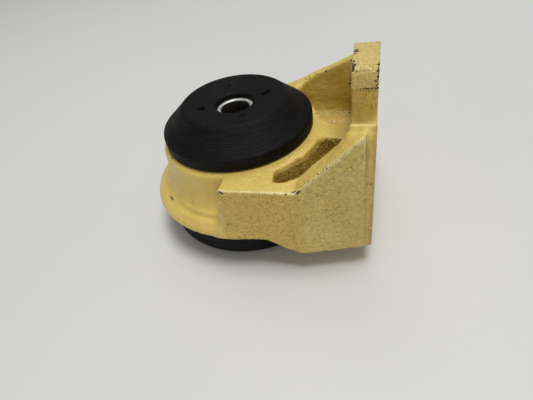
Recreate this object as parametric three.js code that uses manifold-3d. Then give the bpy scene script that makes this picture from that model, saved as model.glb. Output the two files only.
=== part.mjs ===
// Flange-mounted isolator bracket: an iron casting with a ring boss, two side
// ribs and a vertical bolting flange, carrying a two-piece bonded rubber
// isolator on a steel spacer sleeve.
// Units are millimetres, +Z is up along the isolator axis, +X points out of the
// flange's machined back face, and the origin is the middle of the flange's
// four-hole bolt pattern on that face.

import * as THREE from 'three';
import { mergeVertices } from 'three/addons/utils/BufferGeometryUtils.js';
import Module from 'manifold-3d';

const wasm = await Module();
wasm.setup();

// ---------------------------------------------------------------- dimensions
const AXIS_X = -81.5;          // isolator axis, measured from the flange face
const RING_TOP_Z = 15.75;      // ring boss top face above the bolt pattern's middle
// everything below is in the isolator's frame: axis at x = y = 0, ring top at z = 0

const GAP = 0.3;               // clearance between touching pieces
const SEG = 72;                // facets round the big turned shapes

const RING_H = 35.5;           // ring boss height
const BORE_R = 33;             // ring boss bore
const BOSS_R = 47.8;           // ring boss outer wall
const LIP_R = 60.5;            // flared lip at the bottom of the ring

const COLLAR_R = 51.4;         // shelf round the boss that the near pocket stops at
const COLLAR_FAR_R = 48.6;     // and the far one
const FOOT_ROOM_R = 46.8;      // nothing of the casting stands inside this above z = 0
const LOWER_ROOM_R = 56;       // nor inside this below the ring
const WEB_TOP = -2.5;          // web height next to the flange
const POCKET_FLOOR = -15;      // floor of the near top pocket
const FAR_FLOOR = -18.5;       // floor of the far top pocket
const WEB_BOTTOM = -24.5;      // underside of the web

const FLANGE_BACK = 81.5;      // machined back face
const FLANGE_FRONT = 68.3;       // front face
const FLANGE_BOTTOM = -45;
const FLANGE_HALF = 50.8;      // half width of the flange
const RIB_END = 77.2;          // where the side ribs stop short of the back face
const SHOULDER_Z = 30.2;       // crest of the two flange shoulders
const SHOULDER_Y = 45.4;       // outer end of the crest
const NOTCH_Z = 11.5;          // bottom of the notches beside the lug
const NECK_HALF = 13.5;        // lug neck half width
const LUG_HALF = 16.4;         // lug head half width
const LUG_LOW_Z = 31;        // underside of the lug head's overhang
const LUG_TOP_Z = 43.0;

const HOLE_R = 6.5;            // flange bolt holes, for M12 studs
const HOLE_Y = 27;
const HOLE_Z_UP = 1.5;
const HOLE_Z_LOW = -33;
const LUG_HOLE_Z = 28;

const CUSHION_R = 45.2;        // upper cushion, widest
const CUSHION_TOP_R = 31;      // upper cushion, edge of the top face
const CUSHION_H = 20;          // upper cushion, height above the ring
const CUSHION_RIM_Z = 16.7;    // dished top face at the hole
const LOWER_R = 54.8;          // lower cushion, widest
const LOWER_BAND = 18;         // lower cushion, height of its straight band
const REST_Z = -58;            // face the part stands on
const PIN_MARK_R = 19.5;       // moulding pin marks, distance from the axis
const PIN_MARK_A0 = 26;        // angle of the first mark, degrees
const PIN_R = 2.1;

const SLEEVE_OD = 22;
const SLEEVE_ID = 17;
const SLEEVE_TOP = 14;
const SLEEVE_BOTTOM = -53.4;

// ------------------------------------------------------------------- helpers
function solid(geometry) {
  const g = geometry.index ? geometry : geometry.clone();
  g.deleteAttribute('normal');
  g.deleteAttribute('uv');
  const m = mergeVertices(g, 1e-4);
  const p = m.getAttribute('position').array;
  let t = Array.from(m.index.array);
  const tris = [];
  for (let i = 0; i < t.length; i += 3) {
    const [a, b, c] = [t[i], t[i + 1], t[i + 2]];
    if (a !== b && b !== c && a !== c) tris.push(a, b, c);
  }
  let vol = 0;
  for (let i = 0; i < tris.length; i += 3) {
    const [a, b, c] = [tris[i] * 3, tris[i + 1] * 3, tris[i + 2] * 3];
    vol += p[a] * (p[b + 1] * p[c + 2] - p[b + 2] * p[c + 1])
         - p[a + 1] * (p[b] * p[c + 2] - p[b + 2] * p[c])
         + p[a + 2] * (p[b] * p[c + 1] - p[b + 1] * p[c]);
  }
  if (vol < 0) for (let i = 0; i < tris.length; i += 3) {
    const k = tris[i + 1]; tris[i + 1] = tris[i + 2]; tris[i + 2] = k;
  }
  return new wasm.Manifold(new wasm.Mesh({
    numProp: 3,
    vertProperties: new Float32Array(p),
    triVerts: new Uint32Array(tris),
  }));
}

function geometryOf(manifold) {
  const mesh = manifold.getMesh();
  const g = new THREE.BufferGeometry();
  g.setAttribute('position', new THREE.BufferAttribute(new Float32Array(mesh.vertProperties), 3));
  g.setIndex(new THREE.BufferAttribute(new Uint32Array(mesh.triVerts), 1));
  g.computeVertexNormals();
  return g;
}

// turned shape about Z from a closed [r, z] profile
function turned(profile, seg = SEG) {
  const pts = profile.map(([r, z]) => new THREE.Vector2(r, z));
  pts.push(pts[0].clone());
  const g = new THREE.LatheGeometry(pts, seg);
  g.rotateX(Math.PI / 2);
  return solid(g);
}

// outline with rounded corners; each point is [u, v] or [u, v, radius]
function outline(points, steps = 4) {
  const n = points.length;
  const out = [];
  for (let i = 0; i < n; i++) {
    const p = points[i];
    const r = p[2] || 0;
    const here = new THREE.Vector2(p[0], p[1]);
    if (!r) { out.push(here); continue; }
    const a = new THREE.Vector2(...points[(i + n - 1) % n].slice(0, 2)).sub(here);
    const b = new THREE.Vector2(...points[(i + 1) % n].slice(0, 2)).sub(here);
    const la = a.length(), lb = b.length();
    a.divideScalar(la); b.divideScalar(lb);
    const half = Math.acos(THREE.MathUtils.clamp(a.dot(b), -1, 1)) / 2;
    const cut = Math.min(r / Math.tan(half), la * 0.49, lb * 0.49);
    const s = here.clone().addScaledVector(a, cut);
    const e = here.clone().addScaledVector(b, cut);
    for (let k = 0; k <= steps; k++) {
      const t = k / steps;
      out.push(new THREE.Vector2(
        (1 - t) * (1 - t) * s.x + 2 * t * (1 - t) * here.x + t * t * e.x,
        (1 - t) * (1 - t) * s.y + 2 * t * (1 - t) * here.y + t * t * e.y));
    }
  }
  return out;
}

function prism(points, depth) {
  return new THREE.ExtrudeGeometry(new THREE.Shape(outline(points)), { depth, bevelEnabled: false });
}
// outline in (x, y), between two heights
function alongZ(points, z0, z1) {
  const g = prism(points, z1 - z0);
  g.translate(0, 0, z0);
  return solid(g);
}
// outline in (y, z), between two x
function alongX(points, x0, x1) {
  const g = prism(points, x1 - x0);
  g.applyMatrix4(new THREE.Matrix4().set(0, 0, 1, x0, 1, 0, 0, 0, 0, 1, 0, 0, 0, 0, 0, 1));
  return solid(g);
}
// outline in (x, z), between two y
function alongY(points, y0, y1) {
  const g = prism(points, y1 - y0);
  g.rotateX(Math.PI / 2);
  g.translate(0, y1, 0);
  return solid(g);
}
function rod(r, h, x, y, z, axis = 'z', seg = 24) {
  const g = new THREE.CylinderGeometry(r, r, h, seg);
  if (axis === 'z') g.rotateX(Math.PI / 2);
  if (axis === 'x') g.rotateZ(-Math.PI / 2);
  g.translate(x, y, z);
  return solid(g);
}
const flipY = (pts) => pts.map(([x, y, r]) => [x, -y, r]);

// ------------------------------------------------------------------- casting
function castingSolid() {
  // ring boss with its flared lip, before boring
  const boss = turned([
    [BORE_R - 8, 0], [BOSS_R - 2.6, 0], [BOSS_R - 0.9, -0.7], [BOSS_R, -2.4], [BOSS_R + 0.1, -13],
    [48.5, -17], [50.0, -20.6], [52.4, -24.0], [54.8, -26.3], [57.3, -28.3], [59.4, -29.9],
    [LIP_R, -31.8], [LIP_R, -33.6], [59.5, -35.2], [58.3, -RING_H], [BORE_R - 8, -RING_H],
  ]);

  // side walls: plan shape crossed with the side elevation
  const edge = RIB_END;
  const low = [
    [edge, FLANGE_BOTTOM], [44.6, FLANGE_BOTTOM, 6], [37.4, -42.8], [32, -39.6], [26.5, -36.8],
    [21, -RING_H, 6], [-1.5, -RING_H],
  ];
  // near wall: two flat facets outside, with a crease between them
  const near = alongZ([
    [-4, -59.3], [45.8, -59.3, 1], [edge, -51.5, 0.8], [edge, -40],
    [FLANGE_FRONT, -40.2, 3], [61, -42.6], [51, -44.6, 8], [43.5, -47.4], [36.5, -51.0, 3], [31.0, -50.4, 2],
    [30.5, -40], [-4, -36],
  ], -50, 40).intersect(alongY([
    ...low, [4, 0, 1], [44.2, 0, 3], [69.0, 21.8, 4], [74.6, 26.4], [edge, 28.4],
  ], -70, 0));
  // concave blend between the ring boss and the near wall's end
  const blend = alongZ([
    [-1.0, -46.0], [0.6, -49.0], [2.6, -52.2], [4.0, -55.8], [9, -56], [9, -44], [0, -42],
  ], -RING_H, 0).intersect(alongY([[-9, -RING_H], [12, -RING_H], [12, -0.3], [-4.0, -0.3]], -70, 0));
  // far wall: thinner, with a long straight slope that starts beside the boss
  const farSide = () => alongY([
    ...low, [-1.5, -0.6], [14, -0.6], [26.4, 3.4], [37.8, 7.6], [48.7, 12.3], [59.0, 17.3], [66, 21.0],
    [73, 25.0, 3], [edge, 26.2],
  ], 0, 70);
  const far = alongZ([
    [2, 44], [34.0, 37], [36.5, 47.2, 6], [46, 46.8], [58, 45.6, 4], [64.5, 43.2, 3], [FLANGE_FRONT, 39.9], [edge, 39.9],
    [edge, 50.6], [68, 50.6], [46, 53.6], [22, 54.8, 6], [4, 50.4],
  ], -50, 40).intersect(farSide());
  // drafted foot of the far wall inside the pocket
  const farFoot = alongX([
    [43.5, WEB_BOTTOM], [49, WEB_BOTTOM], [49, 10], [46.4, 0], [44.8, -9], [42.9, -14], [40.2, -17.4], [36.0, FAR_FLOOR],
  ], 20, FLANGE_FRONT + 1.5).intersect(farSide());

  // flange plate with two shoulders, two notches and the top lug
  const halfFlange = [
    [FLANGE_HALF, FLANGE_BOTTOM, 1.5], [FLANGE_HALF, -8], [49.9, 10], [48.0, 24], [SHOULDER_Y, SHOULDER_Z, 1],
    [41.6, 28.4, 1.2], [38.5, NOTCH_Z, 3], [NECK_HALF, NOTCH_Z, 5.5], [NECK_HALF, LUG_LOW_Z, 0.8],
    [LUG_HALF, LUG_LOW_Z, 3], [LUG_HALF, LUG_TOP_Z, 5.5],
  ];
  const flange = alongX([
    ...halfFlange, ...[...halfFlange].reverse().map(([y, z, r]) => [-y, z, r]),
  ], FLANGE_FRONT, FLANGE_BACK).intersect(alongZ([
    [FLANGE_FRONT, -20], [FLANGE_FRONT + 1, -42], [FLANGE_FRONT + 1.1, -52], [RIB_END + 0.2, -52],
    [RIB_END + 0.2, -50.8], [79.2, -50.5], [80.7, -49.4], [FLANGE_BACK, -47.6],
    [FLANGE_BACK, 47.6], [80.7, 49.4], [79.2, 50.5], [RIB_END + 0.2, 50.8],
    [RIB_END + 0.2, 52], [FLANGE_FRONT + 1.1, 52], [FLANGE_FRONT + 1, 42], [FLANGE_FRONT, 20],
  ], -60, 60));

  // web: collar round the boss, slab under the pockets and the strip between them
  const collar = rod(COLLAR_R, -WEB_BOTTOM, 0, 0, WEB_BOTTOM / 2, 'z', SEG)
    .intersect(alongZ([[8, -58], [60, -58], [60, -13.6], [30, -6.8], [8, -6.8]], -60, 10))
    .add(rod(COLLAR_FAR_R, -WEB_BOTTOM - 0.4, 0, 0, WEB_BOTTOM / 2 - 0.2, 'z', SEG)
      .intersect(alongZ([[8, -1], [60, -1], [60, 50], [8, 50]], -60, 10)));
  const slab = alongZ([[20, -46], [72, -42], [72, 1], [20, 1]], WEB_BOTTOM, POCKET_FLOOR)
    .add(alongZ([[20, 0], [72, 0], [72, 46], [20, 49]], WEB_BOTTOM, FAR_FLOOR));
  const strip = alongY([
    [40, WEB_BOTTOM], [72, WEB_BOTTOM], [72, WEB_TOP], [60, WEB_TOP, 6], [47.5, -0.2, 4], [40, 0],
  ], -46, 46).intersect(alongZ([
    [40, -30], [44, -29.0], [47.2, -20.4, 6], [50.3, -11.5, 5], [54, -8.2, 4], [61, -7.6], [72, -9.5],
    [72, 9.5], [61, 7.2], [54, 7.4, 4], [48.6, 10.4, 5], [45.2, 18, 6], [42, 25], [40, 27],
  ], -40, 10));

  let body = boss.add(near).add(blend).add(far).add(farFoot).add(flange).add(collar).add(slab).add(strip);

  // bore with a lead-in at each face
  body = body.subtract(turned([
    [0, 5], [BORE_R + 5.6, 5], [BORE_R, -0.6], [BORE_R, -RING_H + 0.6], [BORE_R + 5.6, -RING_H - 5], [0, -RING_H - 5],
  ].map(([r, z]) => [r, z])));
  // room for the upper cushion's foot above the ring's top face
  body = body.subtract(rod(FOOT_ROOM_R, 60, 0, 0, 30, 'z', SEG));
  // and room for the lower cushion inside the ribs below the ring
  body = body.subtract(rod(LOWER_ROOM_R, 60, 0, 0, -RING_H - 30, 'z', SEG));
  const mid = (FLANGE_FRONT + FLANGE_BACK) / 2;
  for (const [y, z] of [[-HOLE_Y, HOLE_Z_UP], [HOLE_Y, HOLE_Z_UP], [-HOLE_Y, HOLE_Z_LOW], [HOLE_Y, HOLE_Z_LOW], [0, LUG_HOLE_Z]]) {
    body = body.subtract(rod(HOLE_R, 20, mid, y, z, 'x', 24));
  }
  return body;
}

// ------------------------------------------------------------------ cushions
function pinMarks(zLow, zHigh) {
  const rods = [];
  for (let k = 0; k < 4; k++) {
    const a = THREE.MathUtils.degToRad(PIN_MARK_A0 + 90 * k);
    rods.push(rod(PIN_R, zHigh - zLow, PIN_MARK_R * Math.cos(a), PIN_MARK_R * Math.sin(a), (zLow + zHigh) / 2, 'z', 10));
  }
  return rods;
}

const SLOT_IN = SLEEVE_OD / 2 + GAP;          // cushion bore
const UP_PLATE = { r0: 11.7, r1: 27.2, z0: 10.0, z1: 13.0 };
const LOW_PLATE = { r0: 11.7, r1: 40.0, z0: -53.4, z1: -49.9 };

function upperCushion() {
  const P = UP_PLATE;
  let c = turned([
    [CUSHION_R - 0.9, GAP], [CUSHION_R, 1.1], [CUSHION_R - 0.1, 7.3], [CUSHION_R - 0.7, 7.9],
    [32.3, 18.9], [CUSHION_TOP_R + 0.1, 19.8], [29.3, CUSHION_H], [27.0, 19.8], [20, 18.5], [13, 17.1],
    [SLOT_IN, CUSHION_RIM_Z],
    [SLOT_IN, P.z1 + GAP], [P.r1 + GAP, P.z1 + GAP], [P.r1 + GAP, P.z0 - GAP], [SLOT_IN, P.z0 - GAP],
    [SLOT_IN, -3.0], [20, -6.5], [29.7, -6.5], [29.7, 3.3], [43.0, 3.3], [43.0, GAP],
  ]);
  for (const m of pinMarks(P.z1, 25)) c = c.subtract(m);
  return c;
}

function lowerCushion() {
  const P = LOW_PLATE;
  const top = -RING_H - GAP;
  let c = turned([
    [52.4, top], [LOWER_R - 0.8, top], [LOWER_R, top - 0.8], [LOWER_R, top - LOWER_BAND + 1],
    [LOWER_R - 1, top - LOWER_BAND], [48.3, REST_Z + 0.9], [46.5, REST_Z], [18, REST_Z], [SLOT_IN, REST_Z + 1.0],
    [SLOT_IN, P.z0 - GAP], [P.r1 + GAP, P.z0 - GAP], [P.r1 + GAP, P.z1 + GAP], [SLOT_IN, P.z1 + GAP],
    [SLOT_IN, -32.0], [20, -29.0], [29.7, -29.0], [29.7, top - 3.1], [52.4, top - 3.1],
  ].reverse());
  for (const m of pinMarks(REST_Z - 5, P.z0)) c = c.subtract(m);
  return c;
}

// ------------------------------------------------------------------ assembly
const paint = () => new THREE.MeshStandardMaterial({ color: 0xddc77e, roughness: 0.55, metalness: 0.0 });
const rubber = () => new THREE.MeshStandardMaterial({ color: 0x1c1c1d, roughness: 0.78, metalness: 0.0 });
const steel = () => new THREE.MeshStandardMaterial({ color: 0xb9b9b4, roughness: 0.35, metalness: 1.0 });

const model = new THREE.Group();
model.name = 'isolator_bracket';
const iso = new THREE.Group();
iso.position.set(AXIS_X, 0, RING_TOP_Z);
model.add(iso);

function put(name, manifold, material) {
  const mesh = new THREE.Mesh(geometryOf(manifold), material);
  mesh.name = name;
  iso.add(mesh);
}

put('bracket_casting', castingSolid(), paint());
put('upper_cushion', upperCushion(), rubber());
put('lower_cushion', lowerCushion(), rubber());
put('upper_seat_ring', turned([
  [30, -9], [BORE_R - GAP, -9], [BORE_R - GAP, GAP + 0.05], [42.7, GAP + 0.05], [42.7, 3.0], [31.2, 3.0], [30, 1.8],
], 48), steel());
put('lower_seat_ring', turned([
  [30, -26.5], [BORE_R - GAP, -26.5], [BORE_R - GAP, -RING_H - GAP - 0.05], [52.1, -RING_H - GAP - 0.05],
  [52.1, -RING_H - 3.1], [31.2, -RING_H - 3.1], [30, -RING_H - 1.9],
].reverse(), 48), steel());
put('upper_load_plate', turned([
  [UP_PLATE.r0, UP_PLATE.z0], [UP_PLATE.r1, UP_PLATE.z0], [UP_PLATE.r1, UP_PLATE.z1], [UP_PLATE.r0, UP_PLATE.z1],
], 48), steel());
put('lower_load_plate', turned([
  [LOW_PLATE.r0, LOW_PLATE.z0], [LOW_PLATE.r1, LOW_PLATE.z0], [LOW_PLATE.r1, LOW_PLATE.z1], [LOW_PLATE.r0, LOW_PLATE.z1],
], 48), steel());
put('inner_sleeve', turned([
  [SLEEVE_ID / 2, SLEEVE_BOTTOM + 0.5], [SLEEVE_ID / 2 + 0.5, SLEEVE_BOTTOM], [SLEEVE_OD / 2 - 0.4, SLEEVE_BOTTOM],
  [SLEEVE_OD / 2, SLEEVE_BOTTOM + 0.4], [SLEEVE_OD / 2, SLEEVE_TOP - 0.4], [SLEEVE_OD / 2 - 0.4, SLEEVE_TOP],
  [SLEEVE_ID / 2 + 0.8, SLEEVE_TOP], [SLEEVE_ID / 2, SLEEVE_TOP - 0.9],
], 48), steel());

export default model;
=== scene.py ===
import math

import bmesh
import bpy
import numpy as np
from mathutils import Matrix, Vector


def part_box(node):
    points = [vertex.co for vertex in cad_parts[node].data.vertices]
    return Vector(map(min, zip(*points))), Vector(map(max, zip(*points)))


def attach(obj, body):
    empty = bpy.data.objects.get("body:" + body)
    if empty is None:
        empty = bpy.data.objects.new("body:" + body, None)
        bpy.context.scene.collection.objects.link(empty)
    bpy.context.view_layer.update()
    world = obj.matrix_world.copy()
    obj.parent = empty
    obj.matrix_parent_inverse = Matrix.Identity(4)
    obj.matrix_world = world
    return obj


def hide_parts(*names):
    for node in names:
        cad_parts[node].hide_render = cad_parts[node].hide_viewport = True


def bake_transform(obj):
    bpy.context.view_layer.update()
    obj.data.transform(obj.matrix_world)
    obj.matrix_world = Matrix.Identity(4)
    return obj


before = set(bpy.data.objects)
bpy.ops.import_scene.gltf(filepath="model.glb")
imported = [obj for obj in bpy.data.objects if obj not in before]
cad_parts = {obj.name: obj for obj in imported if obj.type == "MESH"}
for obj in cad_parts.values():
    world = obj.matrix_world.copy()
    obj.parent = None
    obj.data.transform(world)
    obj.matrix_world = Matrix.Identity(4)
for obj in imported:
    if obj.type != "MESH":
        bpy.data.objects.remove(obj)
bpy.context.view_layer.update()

# ---------------------------------------------------------------- frame
# Shapes are worked out in millimetres about the isolator axis, with z = 0 on
# the ring boss's top face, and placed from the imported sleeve.
_lo, _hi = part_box("inner_sleeve")
SLEEVE_TOP, SLEEVE_BOTTOM = 14.0, -53.4
OX = (_lo.x + _hi.x) / 2 * 1000
OY = (_lo.y + _hi.y) / 2 * 1000
OZ = _hi.z * 1000 - SLEEVE_TOP
RING_H = 35.5
REST_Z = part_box("lower_cushion")[0].z * 1000 - OZ


def place(v):
    """ring-frame millimetres to row-frame metres"""
    return (np.asarray(v, float) + np.array([OX, OY, OZ])) / 1000.0


# ---------------------------------------------------------------- mesh helpers
def mesh_object(name, verts, faces, smooth=True):
    """verts (n, 3) metres, faces (m, 3 or 4)"""
    me = bpy.data.meshes.new(name)
    faces = np.asarray(faces, np.int32)
    n, m, k = len(verts), len(faces), faces.shape[1]
    me.vertices.add(n)
    me.vertices.foreach_set("co", np.asarray(verts, np.float32).ravel())
    me.loops.add(m * k)
    me.loops.foreach_set("vertex_index", faces.ravel())
    me.polygons.add(m)
    me.polygons.foreach_set("loop_start", np.arange(0, m * k, k, dtype=np.int32))
    me.polygons.foreach_set("loop_total", np.full(m, k, np.int32))
    me.polygons.foreach_set("use_smooth", np.full(m, smooth, bool))
    me.update(calc_edges=True)
    me.validate()
    ob = bpy.data.objects.new(name, me)
    bpy.context.scene.collection.objects.link(ob)
    return ob


def float_attribute(ob, name, values):
    a = ob.data.attributes.new(name, "FLOAT", "POINT")
    a.data.foreach_set("value", np.asarray(values, np.float32))


def catmull(points, n=4, closed=False):
    """smooth curve through 2-D points; a third number of 1 keeps a corner sharp"""
    P = [np.array(p[:2], float) for p in points]
    sharp = [len(p) > 2 and p[2] == 1 for p in points]
    out, L = [], len(P)
    rng = range(L if closed else L - 1)
    for i in rng:
        p1, p2 = P[i], P[(i + 1) % L]
        p0 = P[i - 1] if (closed or i > 0) and not sharp[i] else 2 * p1 - p2
        p3 = P[(i + 2) % L] if (closed or i + 2 < L) and not sharp[(i + 1) % L] else 2 * p2 - p1
        if sharp[i] and sharp[(i + 1) % L]:
            out.append(p1)
            continue
        for k in range(n):
            t = k / n
            out.append(0.5 * ((2 * p1) + (-p0 + p2) * t + (2 * p0 - 5 * p1 + 4 * p2 - p3) * t * t
                              + (-p0 + 3 * p1 - 3 * p2 + p3) * t ** 3))
    if not closed:
        out.append(P[-1])
    return np.array(out)


def resample(profile, step):
    """splits the long runs of a closed profile so that no edge is longer than step(point)"""
    out = []
    n = len(profile)
    for i in range(n):
        a, b = np.array(profile[i], float), np.array(profile[(i + 1) % n], float)
        k = max(1, int(math.ceil(np.linalg.norm(b - a) / step((a + b) / 2))))
        for j in range(k):
            out.append(a + (b - a) * j / k)
    return np.array(out)


def lathe(name, profile, seg, move=None):
    """closed (r, z) profile turned about the isolator axis, counter-clockwise in (r, z); move(x, y, z, r, a) may shift points"""
    P = np.asarray(profile, float)
    area = 0.5 * np.sum(P[:, 0] * np.roll(P[:, 1], -1) - np.roll(P[:, 0], -1) * P[:, 1])
    if area < 0:
        P = P[::-1]
    n = len(P)
    a = np.arange(seg) * 2 * math.pi / seg
    r = np.repeat(P[None, :, 0], seg, 0)
    z = np.repeat(P[None, :, 1], seg, 0)
    A = np.repeat(a[:, None], n, 1)
    x, y = r * np.cos(A), r * np.sin(A)
    if move is not None:
        x, y, z = move(x, y, z, r, A)
    v = np.stack([x, y, z], -1).reshape(-1, 3)
    i = np.arange(seg)[:, None]
    j = np.arange(n)[None, :]
    i2, j2 = (i + 1) % seg, (j + 1) % n
    f = np.stack([i * n + j, i2 * n + j, i2 * n + j2, i * n + j2], -1).reshape(-1, 4)
    return mesh_object(name, place(v), f), v


# ---------------------------------------------------------------- distance fields
def sstep(a, b, x):
    t = np.clip((x - a) / (b - a), 0, 1)
    return t * t * (3 - 2 * t)


def smin(a, b, k):
    k = np.maximum(k, 1e-3)
    h = np.clip(0.5 + 0.5 * (b - a) / k, 0, 1)
    return (b + (a - b) * h) - k * h * (1 - h)


def smax(a, b, k):
    return -smin(-a, -b, k)


def outline(points, steps=6):
    """outline with rounded corners; each point is (u, v) or (u, v, radius)"""
    n, out = len(points), []
    for i in range(n):
        p = points[i]
        r = p[2] if len(p) > 2 else 0
        here = np.array(p[:2], float)
        if not r:
            out.append(here)
            continue
        a = np.array(points[i - 1][:2], float) - here
        b = np.array(points[(i + 1) % n][:2], float) - here
        la, lb = np.linalg.norm(a), np.linalg.norm(b)
        a, b = a / la, b / lb
        half = math.acos(max(-1, min(1, float(a @ b)))) / 2
        cut = min(r / math.tan(half), la * 0.49, lb * 0.49)
        s, e = here + a * cut, here + b * cut
        for k in range(steps + 1):
            t = k / steps
            out.append((1 - t) ** 2 * s + 2 * t * (1 - t) * here + t * t * e)
    return np.array(out)


def poly(u, v, pts):
    """signed distance to a closed outline, negative inside"""
    d = np.full(u.shape, 1e9, np.float32)
    inside = np.zeros(u.shape, bool)
    n = len(pts)
    for i in range(n):
        ax, ay = pts[i]
        bx, by = pts[(i + 1) % n]
        ex, ey = bx - ax, by - ay
        L = ex * ex + ey * ey
        if L < 1e-12:
            continue
        wx, wy = u - ax, v - ay
        t = np.clip((wx * ex + wy * ey) / L, 0, 1)
        d = np.minimum(d, (wx - ex * t) ** 2 + (wy - ey * t) ** 2)
        if (ay > by) != (ay < by) or ay != by:
            c = ((ay > v) != (by > v))
            with np.errstate(divide="ignore", invalid="ignore"):
                xi = ax + (v - ay) * ex / (ey if ey != 0 else 1e-9)
            inside ^= c & (u < xi)
    d = np.sqrt(d)
    return np.where(inside, -d, d).astype(np.float32)


def blur(f, sigma):
    """gaussian blur along the three axes, sigma in cells"""
    n = int(math.ceil(sigma * 3))
    w = np.exp(-0.5 * (np.arange(-n, n + 1) / sigma) ** 2)
    w = (w / w.sum()).astype(np.float32)
    for ax in range(3):
        g = np.zeros_like(f)
        pad = np.concatenate([np.take(f, [0] * n, ax), f, np.take(f, [-1] * n, ax)], ax)
        for i in range(2 * n + 1):
            sl = [slice(None)] * 3
            sl[ax] = slice(i, i + f.shape[ax])
            g += w[i] * pad[tuple(sl)]
        f = g
    return f


def band_noise(shape, h, low, high, seed):
    """random field with features between low and high millimetres across, standard deviation 1"""
    rng = np.random.default_rng(seed)
    n = rng.standard_normal(shape).astype(np.float32)
    F = np.fft.rfftn(n)
    kx = np.fft.fftfreq(shape[0], h)[:, None, None]
    ky = np.fft.fftfreq(shape[1], h)[None, :, None]
    kz = np.fft.rfftfreq(shape[2], h)[None, None, :]
    k = np.sqrt(kx * kx + ky * ky + kz * kz)
    F *= np.exp(-(k * low) ** 2) * (1 - np.exp(-(k * high) ** 2))
    n = np.fft.irfftn(F, s=shape).astype(np.float32)
    return n / n.std()


def sample(f, p):
    """trilinear lookup, p in cells"""
    i = np.floor(p).astype(int)
    i = np.minimum(np.maximum(i, 0), np.array(f.shape) - 2)
    t = (p - i).astype(np.float32)
    x, y, z = i.T
    tx, ty, tz = t.T
    c00 = f[x, y, z] * (1 - tx) + f[x + 1, y, z] * tx
    c10 = f[x, y + 1, z] * (1 - tx) + f[x + 1, y + 1, z] * tx
    c01 = f[x, y, z + 1] * (1 - tx) + f[x + 1, y, z + 1] * tx
    c11 = f[x, y + 1, z + 1] * (1 - tx) + f[x + 1, y + 1, z + 1] * tx
    return (c00 * (1 - ty) + c10 * ty) * (1 - tz) + (c01 * (1 - ty) + c11 * ty) * tz


def surface(f, rounds=4):
    """surface nets of f = 0, relaxed and pulled back onto the surface; returns cells-space vertices and quads"""
    s = f < 0
    nx, ny, nz = f.shape
    tot = np.zeros((nx - 1, ny - 1, nz - 1), np.uint8)
    for a in (0, 1):
        for b in (0, 1):
            for c in (0, 1):
                tot += s[a:nx - 1 + a, b:ny - 1 + b, c:nz - 1 + c]
    ci, cj, ck = np.nonzero((tot > 0) & (tot < 8))
    ids = np.full((nx - 1, ny - 1, nz - 1), -1, np.int32)
    ids[ci, cj, ck] = np.arange(len(ci), dtype=np.int32)
    base = np.stack([ci, cj, ck], 1).astype(np.float32)
    acc = np.zeros((len(ci), 3), np.float32)
    cnt = np.zeros(len(ci), np.float32)
    corners = [(a, b, c) for a in (0, 1) for b in (0, 1) for c in (0, 1)]
    vals = {c: f[ci + c[0], cj + c[1], ck + c[2]] for c in corners}
    for A in corners:
        for ax in range(3):
            if A[ax]:
                continue
            B = list(A); B[ax] = 1; B = tuple(B)
            fa, fb = vals[A], vals[B]
            m = (fa < 0) != (fb < 0)
            t = fa[m] / (fa[m] - fb[m])
            p = np.array(A, np.float32)[None, :].repeat(m.sum(), 0)
            p[:, ax] += t
            acc[m] += p
            cnt[m] += 1
    v = base + acc / cnt[:, None]
    quads = []
    for ax in range(3):
        sl0 = [slice(1, -1)] * 3
        sl1 = [slice(1, -1)] * 3
        sl0[ax] = slice(0, -1)
        sl1[ax] = slice(1, None)
        e0, e1 = s[tuple(sl0)], s[tuple(sl1)]
        for out_, flag in ((True, e0 & ~e1), (False, ~e0 & e1)):
            q = np.stack(np.nonzero(flag), 1)
            off = np.array([1, 1, 1]); off[ax] = 0
            q = q + off
            b1, b2 = (ax + 1) % 3, (ax + 2) % 3
            cells = []
            for d1, d2 in ((-1, -1), (0, -1), (0, 0), (-1, 0)):
                c = q.copy()
                c[:, b1] += d1
                c[:, b2] += d2
                cells.append(ids[c[:, 0], c[:, 1], c[:, 2]])
            qq = np.stack(cells, 1)
            quads.append(qq if out_ else qq[:, ::-1])
    quads = np.concatenate(quads)
    assert quads.min() >= 0
    e = np.concatenate([quads[:, [0, 1]], quads[:, [1, 2]], quads[:, [2, 3]], quads[:, [3, 0]]])
    deg = np.bincount(e.ravel(), minlength=len(v)).astype(np.float32)
    for it in range(rounds):
        for ax in range(3):
            sm = (np.bincount(e[:, 0], v[e[:, 1], ax], len(v)) + np.bincount(e[:, 1], v[e[:, 0], ax], len(v))) / deg
            v[:, ax] += 0.55 * (sm - v[:, ax])
        g = gradient(f, v)
        d = sample(f, v)
        g2 = (g * g).sum(1) + 1e-6
        step = np.clip(d / np.sqrt(g2), -0.7, 0.7)
        v = v - g / np.sqrt(g2)[:, None] * step[:, None]
    return v.astype(np.float32), quads


def gradient(f, v, e=0.5):
    g = np.empty((len(v), 3), np.float32)
    for ax in range(3):
        o = np.zeros(3, np.float32); o[ax] = e
        g[:, ax] = (sample(f, v + o) - sample(f, v - o)) / (2 * e)
    return g


# ---------------------------------------------------------------- casting
H = 0.5
LOW = [(44.6, -45, 6), (37.4, -42.8), (32, -39.6), (26.5, -36.8), (21, -RING_H, 6)]


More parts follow.
